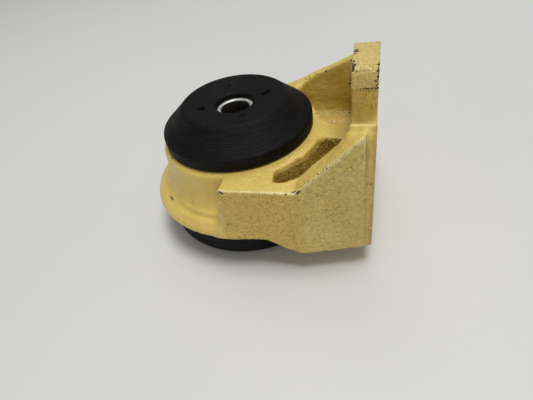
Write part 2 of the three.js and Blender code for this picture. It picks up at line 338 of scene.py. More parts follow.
def casting():
    xs = np.arange(-64.0, 84.5, H, dtype=np.float32)
    ys = np.arange(-63.0, 63.5, H, dtype=np.float32)
    zs = np.arange(-48.0, 45.5, H, dtype=np.float32)
    X2, Y2 = np.meshgrid(xs, ys, indexing="ij")
    XZx, XZz = np.meshgrid(xs, zs, indexing="ij")
    YZy, YZz = np.meshgrid(ys, zs, indexing="ij")
    z3 = zs[None, None, :]
    x3 = xs[:, None, None]
    y3 = ys[None, :, None]
    R2 = np.sqrt(X2 ** 2 + Y2 ** 2)

    def plan(pts):
        return poly(X2, Y2, outline(pts))[:, :, None]

    def side(pts):
        return poly(XZx, XZz, outline(pts))[:, None, :]

    def front(pts):
        return poly(YZy, YZz, outline(pts))[None, :, :]

    # ring boss and its flared lip
    prof = catmull([
        (25, 0, 1), (44.6, 0, 1), (46.7, -0.7), (47.7, -2.6), (47.9, -8), (48.0, -13), (48.6, -17.4), (50.2, -21.2),
        (52.6, -24.3), (55.2, -26.4), (57.6, -28.0), (59.5, -29.8), (60.5, -32.0), (60.4, -33.8), (59.4, -35.2),
        (58.0, -35.5, 1), (25, -35.5, 1)], 4)
    rt = np.arange(0, 92, 0.25, dtype=np.float32)
    zt = np.arange(-49, 46, 0.25, dtype=np.float32)
    RT, ZT = np.meshgrid(rt, zt, indexing="ij")
    tab = poly(RT, ZT, prof)
    ri = R2 / 0.25
    r0 = np.minimum(ri.astype(int), len(rt) - 2)
    rf = (ri - r0)[:, :, None]
    zi = (zs + 49) / 0.25
    z0 = np.minimum(zi.astype(int), len(zt) - 2)
    zf = (zi - z0)[None, None, :]
    T0 = tab[:, z0] * (1 - zf[0]) + tab[:, z0 + 1] * zf[0]
    boss = T0[r0] * (1 - rf) + T0[r0 + 1] * rf
    edge = 77.2
    FF = 68.3
    low = [(edge, -45)] + LOW + [(-1.5, -RING_H)]
    rib_side = side(low + [(4, 0, 1), (44.2, 0, 3), (69.0, 21.8, 4), (74.6, 26.4), (edge, 28.4)])
    near = smax(plan([(-4, -59.3), (45.8, -59.3, 1.0), (edge, -51.5, 0.8), (edge, -40), (FF, -40.2, 3), (61, -41.9),
                      (51, -43.7, 8), (43.5, -46.5), (36.5, -50.3, 3), (31.0, -50.4, 2), (30.5, -40), (-4, -36)]),
                rib_side - 1.5 * sstep(60, 66.5, x3) * sstep(74.5, 69.5, x3) * sstep(-51.6, -48.6, y3) * sstep(-41.2, -45.5, y3),
                0.9 + 2.2 * sstep(-29, -33, z3) * sstep(34, 20, x3))
    k1 = 5.5 * sstep(-12, -21, z3)
    body = smin(boss, near, k1)
    blend = smax(plan([(-1.6, -45.0), (-0.4, -48.0), (1.2, -51.2), (2.9, -54.4), (3.8, -57.6), (9, -57.6), (9, -44), (0, -42)]),
                 side([(-9, -RING_H), (12, -RING_H), (12, -0.2), (4.0, -0.2), (-1.5, -RING_H)]), 1.0)
    body = np.minimum(body, blend)
    # web: collar, strip and pocket floors
    cylN = (R2 - 51.4)[:, :, None]
    slabN = np.maximum(z3 - 0.0, -24.5 - z3)
    slabF = np.maximum(z3 + 0.4, -24.5 - z3)
    collar = np.maximum(smax(cylN, slabN, 1.5), plan([(8, -58), (60, -58), (60, -13.6), (30, -6.8), (8, -6.8)]))
    cylF = (R2 - 48.6)[:, :, None]
    collarF = np.maximum(smax(cylF, slabF, 0.7), plan([(8, -7), (60, -7), (60, 50), (8, 50)]))
    body = np.minimum(np.minimum(body, collar), collarF)
    strip = smax(plan([(38, -30), (44, -29.0), (47.2, -20.4, 6), (50.3, -11.5, 5), (54, -8.2, 4), (61, -7.6), (72, -9.5),
                       (72, 9.5), (61, 7.2), (54, 7.4, 4), (48.6, 10.4, 5), (45.2, 18, 6), (42, 25), (38, 27)]),
                 side([(36, -24.5), (74, -24.5), (74, -2.5), (60, -2.5, 6), (47.5, -0.2, 4), (36, 0)]), 1.8)
    body = smin(body, strip, 0.8 + 2.6 * sstep(-12, -20, y3))
    slab = np.maximum(plan([(20, -46), (72, -42), (72, 1), (20, 1)]), np.maximum(z3 + 15, -24.5 - z3))
    slab = np.minimum(slab, np.maximum(plan([(20, 0), (72, 0), (72, 46), (20, 49)]), np.maximum(z3 + 18.5, -24.5 - z3)))
    body = smin(body, slab, 5.0 * sstep(-4, -9, z3) + 0.01)
    # far wall
    farside = side(low + [(-1.5, -0.6), (14, -0.6), (26.4, 3.4), (37.8, 7.6), (48.7, 12.3), (59.0, 17.3), (66, 21.0),
                          (73, 25.0, 3), (edge, 26.2)])
    far = smax(plan([(2, 44), (29.0, 38), (33.5, 44.2, 8), (40.5, 47.4, 9), (50, 46.6), (58, 45.6, 4), (64.5, 43.2, 3), (FF, 39.9), (edge, 39.9),
                     (edge, 50.6), (68, 50.6), (46, 53.6), (22, 54.8, 6), (4, 50.4)]), farside - 0.7, 1.8 + 4.5 * sstep(42, 28, x3))
    foot = np.maximum(np.maximum(front([(43.5, -24.5), (49, -24.5), (49, 10), (46.4, 0), (44.8, -9), (42.9, -14), (40.2, -17.4), (36.0, -18.5)]),
                                 np.maximum(20 - x3, x3 - 70)), farside)
    far = smin(far, foot, 2.0)
    body = smin(body, far, 2.0 + 4.0 * sstep(-5, -11, z3))
    # flange plate
    half = [(50.8, -45, 0.5), (50.8, -8), (49.9, 10), (48.0, 24), (45.4, 30.2, 1), (41.6, 28.4, 1.2), (38.5, 11.5, 2.0),
            (13.5, 11.5, 5.5), (13.5, 31, 0.8), (16.4, 31, 3), (16.4, 43.0, 5.5)]
    fl = smax(front(half + [(-p[0],) + p[1:] for p in half[::-1]]),
              plan([(FF, -20), (FF + 1, -42), (FF + 1.1, -52), (edge + 0.2, -52), (edge + 0.2, -50.8), (79.6, -50.6), (80.9, -50.0),
                    (81.5, -49.0), (83, -47.5), (83, 46), (81.5, 47.6), (80.7, 49.4), (79.2, 50.5), (edge + 0.2, 50.8), (edge + 0.2, 52),
                    (FF + 1.1, 52), (FF + 1, 42), (FF, 20)]), 0.6)
    low_fade = sstep(29.5, 25, z3)
    body = smin(body, fl, 0.8 + (2.5 * sstep(-49.5, -46, y3) + 4.0 * sstep(10, 20, z3) * sstep(-50.3, -47, y3) * (y3 < 0)) * low_fade * (1 - 0.85 * sstep(-45.5, -41.5, y3) * sstep(-30, -36, y3)))
    # common underside
    under = side([(-70, -RING_H), (21, -RING_H, 6)] + LOW[::-1][1:] + [(90, -45), (90, 80), (-70, 80)])
    body = smax(body, under, 1.0)
    body = blur(body, 0.42 / H)
    # cast surface
    shape = body.shape
    n1 = band_noise(shape, H, 5.0, 30.0, 11)
    n2 = band_noise(shape, H, 1.7, 5.0, 12)
    pocket = sstep(0.5, 2.0, R2 - 48.2)[:, :, None] * sstep(-1.5, -5, z3) * sstep(-55, -50, y3) * (x3 < 70) * sstep(24, 34, x3)
    pocket = pocket * (1 - sstep(44.5, 47.5, -y3)) * (1 - sstep(48, 52, y3))
    top = body  # field before the texture, for curvature
    side_cast = sstep(-46.5, -49.5, y3) * sstep(0, 5, x3) * sstep(-0.3, -1.8, rib_side)
    lug_cast = sstep(14, 20, z3) * sstep(18, 16, np.abs(y3)) * (x3 > 60)
    near_pocket = pocket * sstep(-2, -8, y3)
    body = body + 0.05 * n1 + (0.035 + 0.13 * near_pocket + 0.02 * (pocket - near_pocket) + 0.085 * side_cast + 0.075 * lug_cast) * n2
    # faint parting line round the outside of the near wall and the lip
    zline = -32.4 + 0.25 * np.sin(x3 * 0.35)
    body = body - 0.34 * np.exp(-((z3 - zline) / 0.65) ** 2) * (y3 < -40) * sstep(-2, 4, x3) * sstep(46, 40, x3)
    # two low ridges on the lip where it runs into the near wall
    bow = sstep(-34, -18, x3) * sstep(3, -2, x3) * (y3 < 0)
    for rr, zz, hh in ((52.7, -24.1, 1.0), (54.6, -26.4, -0.6), (56.7, -27.8, 1.0)):
        body = body - hh * bow * np.exp(-(((R2 - rr) / 1.1) ** 2))[:, :, None] * np.exp(-((z3 - zz) / 1.1) ** 2)
    # the back edge of the flange is relieved below a step, with two lumps of flash
    relief = np.maximum(np.maximum(78.0 - x3, z3 + 7.4 + 0.6 * (81.5 - x3)), y3 + 50.05)
    body = smax(body, -relief, 0.5)
    for p, q in (((80.6, -49.7, -3.6), 1.0), ((80.4, -50.0, -31.0), 1.3)):
        body = smin(body, np.sqrt((x3 - p[0]) ** 2 + (y3 - p[1]) ** 2 + (z3 - p[2]) ** 2) - q, 0.8)
    # machined faces and cuts
    cyl = lambda r: (R2 - r)[:, :, None]
    body = np.maximum(body, -np.maximum(cyl(46.8), np.maximum(0.0 - z3, z3 - 60)))
    body = np.maximum(body, -np.maximum(cyl(56.0), z3 + RING_H))
    body = np.maximum(body, -cyl(33.0))
    body = smax(body, x3 - 81.5, 0.5)
    body = np.maximum(body, z3 - 43.05)
    body = np.maximum(body, -45.05 - z3)
    for y, z in ((-27, 1.5), (27, 1.5), (-27, -33), (27, -33), (0, 28)):
        rr = np.sqrt((YZy - y) ** 2 + (YZz - z) ** 2)[None]
        hole = np.maximum(rr - 6.5, 60 - x3)
        hole = np.minimum(hole, rr - 6.5 - (x3 - 81.5) - 0.8)      # countersink on the machined face
        body = np.maximum(body, -np.maximum(hole, 60 - x3))
    v, quads = surface(body.astype(np.float32))
    # curvature of the plain shape: above zero on outer edges, below zero in corners
    sm = blur(top, 1.0 / H)
    g = np.stack(np.gradient(sm), -1)
    g /= np.linalg.norm(g, axis=-1, keepdims=True) + 1e-6
    curv = sum(np.gradient(g[..., i], axis=i) for i in range(3)) / H
    return (v, quads, body.astype(np.float32), curv.astype(np.float32), np.broadcast_to(pocket, shape).astype(np.float32),
            np.array([xs[0], ys[0], zs[0]], np.float32))


# chips and pits in the paint: x, y, z, radius in ring-frame millimetres
CHIPS = [
    (69.7, 2.2, 43.0, 1.36), (69.0, -9.6, 43.0, 0.91), (68.9, -13.3, 42.7, 1.2), (68.8, -14.7, 41.8, 0.97),
    (64.3, 43.2, 10.5, 0.53), (64.1, 43.3, 6.9, 0.44), (63.8, 43.5, 4.3, 0.71), (68.8, 11.7, 42.9, 0.37),
    (81.4, 10.9, 43.0, 0.37), (81.4, -1.2, 43.0, 0.32), (81.2, -8.6, 43.0, 0.27), (81.1, -13.4, 42.6, 0.73),
    (80.9, -14.9, 41.7, 0.33), (80.9, -15.7, 40.5, 0.6), (81.0, -16.1, 39.3, 0.33), (80.9, -16.3, 38.0, 0.53),
    (80.7, -16.4, 36.3, 0.33), (80.0, -16.4, 35.5, 0.47), (79.2, -16.4, 36.1, 0.33), (74.2, -16.3, 32.0, 0.39),
    (75.5, -16.3, 31.9, 0.52), (76.8, -16.3, 31.8, 0.52), (78.2, -16.3, 31.7, 0.57), (79.6, -16.3, 31.7, 0.66),
    (80.8, -16.3, 31.9, 0.7), (74.3, -12.9, 42.7, 0.27), (76.6, -13.7, 42.4, 0.2), (79.3, -7.3, 43.0, 0.27),
    (71.1, -15.7, 40.6, 0.26), (73.5, -16.4, 35.0, 0.23), (78.1, -13.5, 21.5, 0.24), (68.5, -13.5, 29.1, 0.24),
    (68.6, -13.5, 25.5, 0.21), (68.5, -13.5, 22.1, 0.19), (63.8, 41.4, -15.9, 0.39), (65.7, 5.1, -2.5, 0.37),
    (65.8, -4.7, -2.5, 0.35), (79.7, -43.4, 29.3, 0.25), (80.4, -43.5, 29.3, 0.23), (81.0, -44.8, 29.8, 0.25),
    (37.6, 47.8, 7.5, 0.42), (34.9, 47.5, 6.5, 0.28), (48.4, 46.6, 11.6, 0.48), (45.2, 14.8, -0.1, 0.57),
    (43.7, -57.1, 0.1, 0.41), (45.5, -58.8, 1.1, 0.75), (46.8, -59.1, 2.0, 0.35), (50.5, -56.1, 5.6, 0.63),
    (48.9, -55.9, 4.1, 0.35), (47.2, -56.3, 2.6, 0.35), (45.6, -56.3, 1.2, 0.24), (53.6, -55.0, 8.2, 0.34),
    (58.9, -54.2, 12.9, 0.45), (60.2, -54.6, 14.0, 0.23), (56.6, -54.6, 10.9, 0.23), (55.1, -54.6, 9.6, 0.19),
    (62.8, -53.3, 16.4, 0.16), (64.8, -52.4, 18.1, 0.14), (67.1, -48.7, 20.1, 0.23), (66.9, -51.5, 19.9, 0.18),
    (68.6, -52.4, 21.5, 0.2), (68.0, -53.8, 20.1, 0.16), (75.8, -51.8, 16.5, 0.23), (71.0, -53.0, 12.0, 0.28),
    (70.4, -53.2, 12.8, 0.14), (39.8, -59.3, -0.3, 0.41), (37.0, -59.3, -0.8, 0.2), (42.2, -58.7, -0.0, 0.19),
    (31.8, -59.3, -1.9, 0.15), (25.9, -59.3, -2.5, 0.2), (19.7, -59.3, -2.7, 0.15), (5.5, -59.3, -0.9, 0.46),
    (6.4, -59.3, -1.3, 0.36), (4.3, -59.3, -1.9, 0.21), (7.9, -59.3, -2.9, 0.15), (-39.3, -37.5, -25.9, 0.32),
    (-38.0, -38.8, -25.9, 0.38), (-36.9, -40.2, -26.1, 0.25), (26.2, -56.0, 0.0, 0.15), (20.5, -49.1, 0.0, 0.13),
    (37.3, -35.3, -10.2, 0.14), (4.6, -59.3, -23.7, 0.28), (58.6, -56.1, -12.6, 0.23), (19.1, -59.3, -18.7, 0.19),
    (2.5, -59.3, -17.0, 0.19), (38.7, -59.3, -7.3, 0.2), (23.4, -59.3, -28.7, 0.16), (44.8, -59.3, -23.6, 0.16),
    (13.4, -59.3, -10.3, 0.16), (33.2, -59.3, -14.1, 0.21), (40.5, -59.3, -19.4, 0.16), (14.7, -59.3, -26.2, 0.19),
    (8.1, -59.3, -14.4, 0.16), (30.1, -59.3, -6.5, 0.15), (53.8, -57.3, -26.5, 0.16), (65.5, -54.4, -0.4, 0.15),
    (61.1, -55.5, 5.4, 0.12), (72.9, -52.6, -8.3, 0.15), (51.0, -58.0, -7.8, 0.15), (75.0, -52.0, 6.6, 0.19),
    (78.3, -50.4, 0.4, 0.25), (67.5, -53.9, -25.9, 0.16), (69.1, -0.8, 43.0, 0.71), (70.2, 4.2, 43.0, 0.61),
    (68.6, -11.6, 42.9, 0.67), (69.3, -14.4, 42.0, 0.61), (68.5, -15.5, 40.8, 0.51), (64.6, 43.1, 19.9, 0.54),
    (81.3, -11.8, 42.9, 0.41), (80.8, -16.4, 37.4, 0.46), (81.2, -15.3, 41.2, 0.41), (43.3, -57.4, 0.0, 0.63),
    (44.2, -57.1, 0.2, 0.58), (46.3, -59.2, 1.4, 0.53), (45.4, -59.3, 0.7, 0.43), (50.9, -56.0, 5.9, 0.48),
    (50.0, -56.4, 5.1, 0.38), (55.6, -55.6, 10.0, 0.38), (58.3, -55.2, 12.4, 0.42), (59.6, -55.4, 13.6, 0.37),
    (61.5, -54.1, 15.2, 0.28), (63.7, -53.0, 17.1, 0.23), (-40.3, -37.1, -26.3, 0.51), (-39.0, -38.3, -26.2, 0.57),
    (-37.7, -39.6, -26.2, 0.51), (-41.3, -36.0, -26.3, 0.39), (-33.1, -31.4, -0.2, 0.54), (-32.1, -32.3, -0.1, 0.42),
    (5.1, -59.3, -0.2, 0.41), (5.8, -59.3, -0.8, 0.51), (6.6, -59.3, -1.3, 0.51), (4.3, -59.3, -1.3, 0.31),
    (30.7, -59.3, -18.7, 0.29), (33.7, -59.3, -19.7, 0.29), (12.2, -59.3, -16.9, 0.21), (26.1, -59.3, -2.4, 0.22),
    (18.9, -59.3, -3.3, 0.2), (9.5, -59.3, -25.6, 0.19), (18.2, -59.3, -24.9, 0.22), (8.9, -59.3, -10.4, 0.18),
    (29.4, -59.3, -12.0, 0.21), (27.5, -59.3, -12.8, 0.18), (18.7, -59.3, -17.1, 0.21), (23.1, -59.3, -18.0, 0.21),
    (15.1, -59.3, -9.4, 0.18), (36.7, -59.3, -17.0, 0.23), (32.8, -59.3, -22.9, 0.21), (37.6, -59.3, -24.5, 0.21),
    (40.8, -59.3, -20.7, 0.31), (36.9, -59.3, -17.8, 0.26), (38.3, -59.3, -19.5, 0.26), (48.7, -58.6, -17.1, 0.26),
    (53.4, -57.4, -29.8, 0.21), (37.4, -59.3, -30.6, 0.27), (41.2, -59.3, -30.4, 0.24), (65.2, -54.5, -2.3, 0.2),
    (56.7, -56.6, -2.5, 0.22), (75.6, -51.9, -21.0, 0.18), (79.5, -50.3, 0.1, 0.34), (71.0, -53.0, -15.2, 0.23),
    (68.3, -53.7, -16.4, 0.21), (64.9, -54.6, -18.6, 0.18), (72.8, -16.3, 32.1, 0.31), (80.3, -16.4, 33.5, 0.36),
    (80.9, -16.4, 34.4, 0.31), (79.3, 2.0, 43.0, 0.22), (64.1, 43.4, 2.4, 0.41), (63.9, 43.4, 8.2, 0.41),
    (61.7, -55.3, -18.1, 0.17), (62.8, -55.1, -17.6, 0.17), (63.9, -54.8, -17.0, 0.16), (66.1, -54.2, -15.8, 0.16),
    (67.2, -54.0, -15.3, 0.16), (68.3, -53.7, -14.7, 0.16), (70.5, -53.2, -13.6, 0.16), (71.5, -52.9, -13.0, 0.16),
    (73.7, -52.4, -11.9, 0.16), (74.7, -52.1, -11.3, 0.16), (75.8, -51.9, -10.8, 0.16),
]


def chip_field(mm):
    """1 inside a chip, 0.6 on its rim, falling to 0 outside"""
    out = np.zeros(len(mm), np.float32)
    for x, y, z, r in CHIPS:
        p = np.array([x, y, z], np.float32)
        m = np.nonzero(np.abs(mm - p).max(1) < r * 1.7)[0]
        d = np.sqrt(((mm[m] - p) ** 2).sum(1))
        out[m] = np.maximum(out[m], np.clip(1.6 - d / r, 0, 1))
    return out


def refine(ob, near, cuts):
    """cuts the faces near the given points (x, y, z, r in metres) into smaller ones"""
    me = ob.data
    co = np.empty(len(me.vertices) * 3, np.float32)
    me.vertices.foreach_get("co", co)
    co = co.reshape(-1, 3)
    mark = np.zeros(len(co), bool)
    for x, y, z, r in near:
        mark |= ((co - np.array([x, y, z], np.float32)) ** 2).sum(1) < r * r
    bm = bmesh.new()
    bm.from_mesh(me)
    bm.verts.ensure_lookup_table()
    edges = [e for e in bm.edges if mark[e.verts[0].index] and mark[e.verts[1].index]]
    bmesh.ops.subdivide_edges(bm, edges=edges, cuts=cuts, use_grid_fill=True)
    bmesh.ops.triangulate(bm, faces=[f for f in bm.faces if len(f.verts) > 4])
    bm.to_mesh(me)
    bm.free()
    me.update()


grid, quads, field, curv, pocket, origin = casting()
mm0 = grid * H + origin
bracket = mesh_object("bracket_body", place(mm0), quads)

# chips sit on the finished surface
cs = (np.array([c[:3] for c in CHIPS], np.float32) - origin) / H
for _ in range(4):
    g = gradient(field, cs)
    g2 = (g * g).sum(1) + 1e-6
    cs = cs - g * np.clip(sample(field, cs) / g2, -1.5, 1.5)[:, None]
CHIPS = [(*p, c[3] * 1.15) for p, c in zip(cs * H + origin, CHIPS)]
refine(bracket, [(*place(c[:3]), (c[3] * 1.7 + 0.9) / 1000) for c in CHIPS], 3)

co = np.empty(len(bracket.data.vertices) * 3, np.float32)
bracket.data.vertices.foreach_get("co", co)
mm = co.reshape(-1, 3) * 1000 - np.array([OX, OY, OZ])
gs = ((mm - origin) / H).astype(np.float32)
nn = gradient(field, gs)
nn /= np.linalg.norm(nn, axis=1, keepdims=True) + 1e-6
cv = sample(curv, gs)
chip = chip_field(mm.astype(np.float32))
mm = mm - nn * (0.28 * sstep(0.50, 0.80, chip))[:, None]
bracket.data.vertices.foreach_set("co", place(mm).astype(np.float32).ravel())
bracket.data.polygons.foreach_set("use_smooth", np.ones(len(bracket.data.polygons), bool))
bracket.data.update()
flank = sstep(-48.5, -51, mm[:, 1]) * sstep(0.62, 0.4, np.abs(nn[:, 2])) * sstep(0, 5, mm[:, 0])
pk = sample(pocket, gs)
float_attribute(bracket, "chip", chip)
skin = mm[:, 1] + 59.3 - 7.8 * np.clip((mm[:, 0] - 45.8) / 31.4, 0, 1)
outer = sstep(3.4, 2.0, skin) * sstep(-34.5, -33, mm[:, 2])
lug = sstep(20, 28, mm[:, 2]) * sstep(20, 17, np.abs(mm[:, 1]))
# convex outer edges of the near wall and the lug, used for the worn paint and the painted edge highlight
float_attribute(bracket, "edge", np.clip(cv * 2.2, 0, 1) ** 2 * np.clip(outer * sstep(-2, 2, mm[:, 0]) + 0.35 * lug, 0, 1))
# brownish tint on the sides of the back edge of the flange
float_attribute(bracket, "brown_tint", sstep(78.4, 80.9, mm[:, 0]) * sstep(40, 46, np.abs(mm[:, 1])) * sstep(0.9, 0.6, nn[:, 2]))
float_attribute(bracket, "dust", 0.30 * sstep(29, 33, mm[:, 2]) * sstep(20, 17, np.abs(mm[:, 1])) + 0.16 * flank * sstep(44, 50, mm[:, 0]))
# left part of the long flank, where warm bounce light is painted into the colour
float_attribute(bracket, "painted_warm_bounce", flank * sstep(48, 42, mm[:, 0]))
float_attribute(bracket, "near_pocket", pk * sstep(-2, -8, mm[:, 1]))
# concave corners, where shade is painted into the colour
float_attribute(bracket, "cavity", np.clip(-cv * 3.0, 0, 1))
float_attribute(bracket, "pocket", pk)
lugside = sstep(14, 20, mm[:, 2]) * sstep(18, 16, np.abs(mm[:, 1])) * sstep(60, 64, mm[:, 0])
float_attribute(bracket, "cast", np.clip(np.maximum(np.maximum(flank, 0.7 * lugside), pk * (0.12 + 0.88 * sstep(-2, -8, mm[:, 1]))), 0, 1))


# ---------------------------------------------------------------- rubber
def marks(zref, sign):
    """moulding marks: depth shift of the face at height z, where the profile is near zref"""
    spots = [(26, 2.7, 3.2, 1.0), (206, 2.5, 3.0, 0.9), (119, 1.9, 1.0, 0.55), (300, 2.1, 1.3, 0.6)]

    def shift(x, y, z, r, a):
        top = (sign * (z - zref) > -2.6) & (r > 12.5) & (r < 30)
        d = np.zeros_like(z)
        for ang, rad, deep, _ in spots:
            c = math.radians(ang)
            px, py = 19.5 * math.cos(c), 19.5 * math.sin(c)
            q = np.arctan2(y - py, x - px)
            rr = rad * (1 + 0.18 * np.sin(2 * q + ang) + 0.16 * np.sin(3 * q + 2 * ang) + 0.08 * np.sin(5 * q + ang))
            dist = np.sqrt((x - px) ** 2 + (y - py) ** 2)
            d = np.maximum(d, deep * sstep(1.0, 0.62, dist / rr))
            d = d - (0.10 + 0.10 * np.sin(3 * q + ang)) * np.exp(-((dist - rr * 1.12) / 0.45) ** 2)
        return x, y, z - sign * np.where(top, d, 0),

    return shift


def step_for(p):
    r, z = p
    if 15.5 < r < 23.5 and z > 15:
        return 0.42
    return 2.2


UP = [(44.4, 0.3), (45.15, 1.1), (45.2, 2.0), (45.2, 7.0), (45.05, 7.6), (44.65, 7.95), (44.1, 8.35), (38.5, 13.05), (33.6, 17.35),
      (32.5, 18.3), (31.8, 18.95), (31.0, 19.5), (30.0, 19.85), (28.8, 19.95), (27.0, 19.75), (24.0, 19.25), (20.0, 18.5),
      (16.0, 17.7), (13.2, 17.15), (12.0, 16.95), (11.45, 16.7), (11.3, 16.2), (11.3, 13.3), (27.5, 13.3), (27.5, 9.7),
      (11.3, 9.7), (11.3, -3.0), (20, -6.5), (29.7, -6.5), (29.7, 3.3), (43.0, 3.3), (43.0, 0.3)]
up_shift = marks(18.4, 1)
upper, _ = lathe("upper_rubber", resample(UP, step_for), 288, lambda *a: up_shift(*a)[:3])

T = -RING_H - 0.3
LOWP = [(52.4, T), (53.9, T), (54.7, T - 0.7), (54.8, T - 1.6), (54.8, T - 16.9), (54.5, T - 17.6), (53.8, T - 18.2),
        (49.6, REST_Z + 1.5), (48.3, REST_Z + 0.6), (46.8, REST_Z + 0.1), (45.5, REST_Z), (18, REST_Z), (12.6, REST_Z + 0.2),
        (11.6, REST_Z + 0.6), (11.3, REST_Z + 1.2), (11.3, -53.7), (40.3, -53.7), (40.3, -49.6), (11.3, -49.6), (11.3, -32.0),
        (20, -29.0), (29.7, -29.0), (29.7, T - 3.1), (52.4, T - 3.1)]
lower, _ = lathe("lower_rubber", resample(LOWP, lambda p: 2.2), 256)


# ---------------------------------------------------------------- steel
def tube_profile(r0, r1, z0, z1, c=0.4):
    pts = []
    for cx, cz, a0 in ((r1 - c, z1 - c, 0), (r0 + c, z1 - c, 90), (r0 + c, z0 + c, 180), (r1 - c, z0 + c, 270)):
        for k in range(4):
            a = math.radians(a0 + 30 * k)
            pts.append((cx + c * math.cos(a), cz + c * math.sin(a)))
    return pts


SLEEVE = [(8.5, SLEEVE_BOTTOM + 0.45), (8.63, SLEEVE_BOTTOM + 0.13), (8.95, SLEEVE_BOTTOM), (10.55, SLEEVE_BOTTOM), (10.87, SLEEVE_BOTTOM + 0.13),
          (11.0, SLEEVE_BOTTOM + 0.45), (11.0, SLEEVE_TOP - 0.35), (10.9, SLEEVE_TOP - 0.1), (10.65, SLEEVE_TOP), (9.4, SLEEVE_TOP),
          (9.1, SLEEVE_TOP - 0.08), (8.62, SLEEVE_TOP - 0.75), (8.5, SLEEVE_TOP - 1.1)]
sleeve, _ = lathe("spacer_sleeve", resample(SLEEVE, lambda p: 3.0), 144)
plate_up, _ = lathe("load_plate_upper", tube_profile(11.7, 27.2, 10.0, 13.0, 0.3), 96)
plate_low, _ = lathe("load_plate_lower", tube_profile(11.7, 40.0, -53.4, -49.9, 0.3), 96)
seat_up, _ = lathe("seat_ring_upper", [(30, -8.7), (30.3, -9), (32.4, -9), (32.7, -8.7), (32.7, 0.35), (42.4, 0.35), (42.7, 0.65),
                                       (42.7, 2.7), (42.4, 3.0), (31.5, 3.0), (30.6, 2.6), (30, 1.7)], 128)
seat_low, _ = lathe("seat_ring_lower", [(30, -26.8), (30.3, -26.5), (32.4, -26.5), (32.7, -26.8), (32.7, T - 0.05), (51.8, T - 0.05),
                                        (52.1, T - 0.35), (52.1, T - 2.5), (51.8, T - 2.8), (31.5, T - 2.8), (30.6, T - 2.4), (30, T - 1.5)], 128)


# ---------------------------------------------------------------- materials
class Nodes:
    def __init__(self, name):
        self.m = bpy.data.materials.new(name)
        self.m.use_nodes = True
        self.t = self.m.node_tree
        self.t.nodes.clear()
        self.out = self.t.nodes.new("ShaderNodeOutputMaterial")
        self.p = self.t.nodes.new("ShaderNodeBsdfPrincipled")
        self.t.links.new(self.p.outputs[0], self.out.inputs[0])

    def n(self, kind, **kw):
        node = self.t.nodes.new(kind)
        for k, v in kw.items():
            if k in node.bl_rna.properties:
                setattr(node, k, v)
            else:
                node.inputs[k.replace("_", " ")].default_value = v
        return node

    def link(self, a, b):
        self.t.links.new(a, b)

    def coords(self):
        return self.n("ShaderNodeTexCoord").outputs["Object"]

    def noise(self, scale, detail=3.0, rough=0.5, vec=None, dist=0.0):
        t = self.n("ShaderNodeTexNoise")
        t.inputs["Scale"].default_value = scale
        t.inputs["Detail"].default_value = detail
        t.inputs["Roughness"].default_value = rough
        t.inputs["Distortion"].default_value = dist
        self.link(vec if vec is not None else self.coords(), t.inputs["Vector"])
        return t.outputs["Fac"]

    def ramp(self, fac, stops):
        r = self.n("ShaderNodeValToRGB")
        el = r.color_ramp.elements
        while len(el) > 1:
            el.remove(el[-1])
        el[0].position, el[0].color = stops[0][0], stops[0][1]
        for pos, col in stops[1:]:
            e = el.new(pos)
            e.color = col
        self.link(fac, r.inputs["Fac"])
        return r.outputs["Color"]

    def span(self, fac, a, b, c=0.0, d=1.0):
        r = self.n("ShaderNodeMapRange")
        for k, v in zip(("From Min", "From Max", "To Min", "To Max"), (a, b, c, d)):
            r.inputs[k].default_value = v
        self.link(fac, r.inputs["Value"])
        return r.outputs["Result"]

    def math(self, op, a, b=None, clamp=False):
        r = self.n("ShaderNodeMath")
        r.operation, r.use_clamp = op, clamp
        for i, v in enumerate((a, b)):
            if v is None:
                continue
            if isinstance(v, (int, float)):
                r.inputs[i].default_value = v
            else:
                self.link(v, r.inputs[i])
        return r.outputs[0]

    def mix(self, fac, a, b, blend="MIX"):
        r = self.n("ShaderNodeMix")
        r.data_type, r.blend_type = "RGBA", blend
        for sock, v in ((r.inputs[0], fac), (r.inputs[6], a), (r.inputs[7], b)):
            if isinstance(v, (int, float)):
                sock.default_value = v
            elif isinstance(v, tuple):
                sock.default_value = v
            else:
                self.link(v, sock)
        return r.outputs[2]

    def attr(self, name):
        a = self.n("ShaderNodeAttribute")
        a.attribute_name = name
        return a.outputs["Fac"]

    def bump(self, height, strength, distance, normal=None):
        b = self.n("ShaderNodeBump")
        b.inputs["Strength"].default_value = strength
        b.inputs["Distance"].default_value = distance
        self.link(height, b.inputs["Height"])
        if normal is not None:
            self.link(normal, b.inputs["Normal"])
        return b.outputs["Normal"]

    def set(self, **kw):
        for k, v in kw.items():
            s = self.p.inputs[k.replace("_", " ")]
            if isinstance(v, (int, float, tuple)):
                s.default_value = v
            else:
                self.link(v, s)


def col(r, g, b):
    """sRGB 0-255 to linear"""
    out = []
    for c in (r, g, b):
        c /= 255.0
        out.append(c / 12.92 if c <= 0.04045 else ((c + 0.055) / 1.055) ** 2.4)
    return (*out, 1.0)


